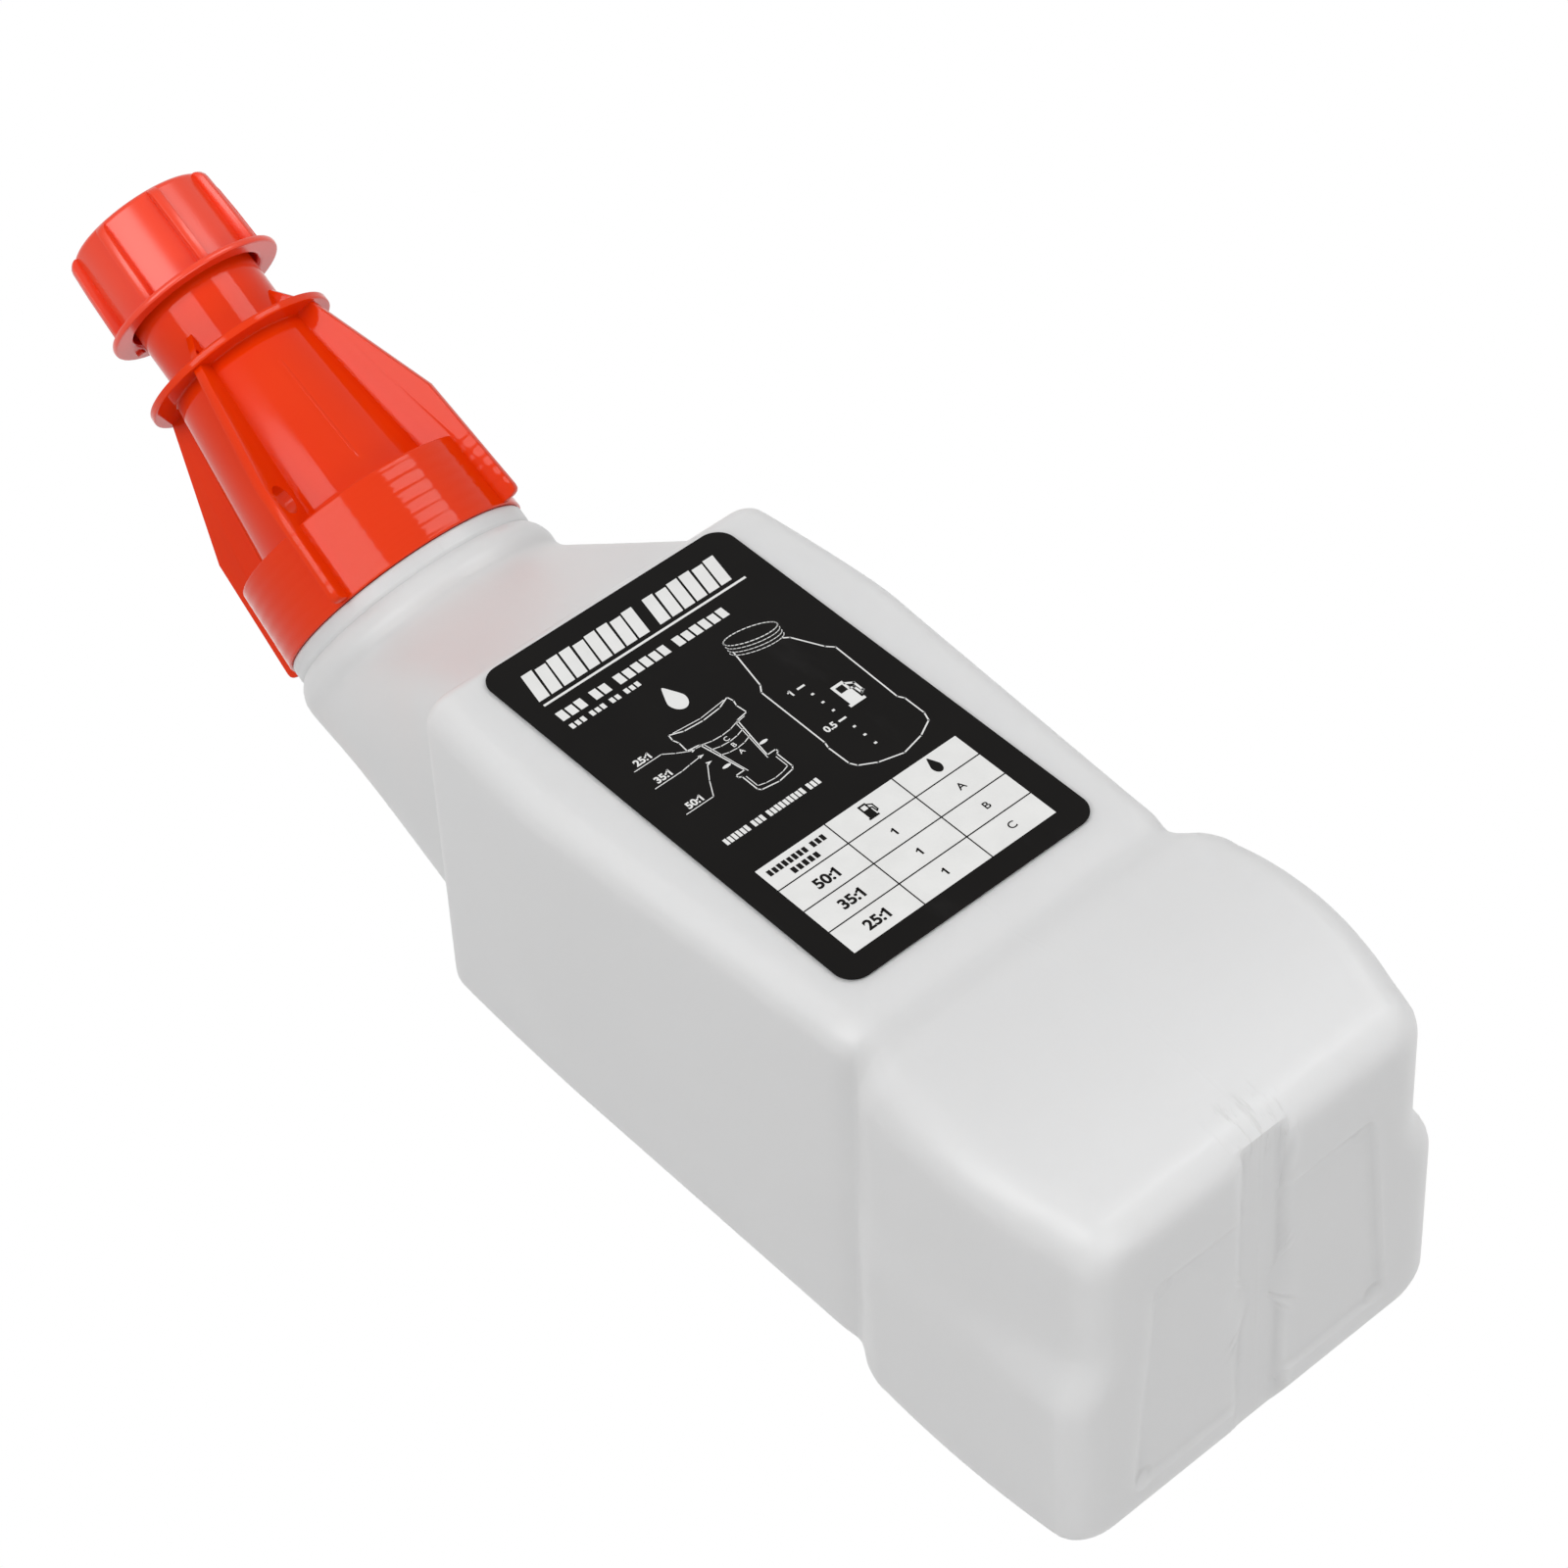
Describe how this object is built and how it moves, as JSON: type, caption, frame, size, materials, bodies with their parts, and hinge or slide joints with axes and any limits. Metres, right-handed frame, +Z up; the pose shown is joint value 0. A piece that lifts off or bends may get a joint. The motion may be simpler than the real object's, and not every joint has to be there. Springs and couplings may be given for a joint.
{
  "type": "fuel mixing bottle",
  "caption": "White plastic bottle with a broad foot and a leaning neck; an orange measuring cup screws on as a spout under a ribbed cap on a strap.",
  "frame": {"origin": "under the middle of the whole object's box, on the surface it stands on", "axes": "+Z up; the label and the leaning neck face -Y; +X is to the right of someone who looks at the label"},
  "size_m": [0.0944, 0.1084, 0.3408],
  "materials": {
    "bottle_plastic": "translucent white, satin",
    "label_film": "printed film, satin",
    "orange_plastic": "glossy",
    "black_rubber": "matt"
  },
  "bodies": {
    "bottle_body": {"bottle": "bottle_plastic", "label": "label_film"},
    "cup_body": {"measuring_cup": "orange_plastic"},
    "cap_body": {"cap": "orange_plastic", "cap_gasket": "black_rubber"}
  },
  "joints": [
    {"name": "cup_lift", "type": "slide", "parent": "bottle_body", "child": "cup_body", "axis": [0, -0.527, 0.8499], "range_m": [0, 0.03]},
    {"name": "cap_lift", "type": "slide", "parent": "cup_body", "child": "cap_body", "axis": [0, -0.527, 0.8499], "range_m": [0, 0.025]}
  ]
}
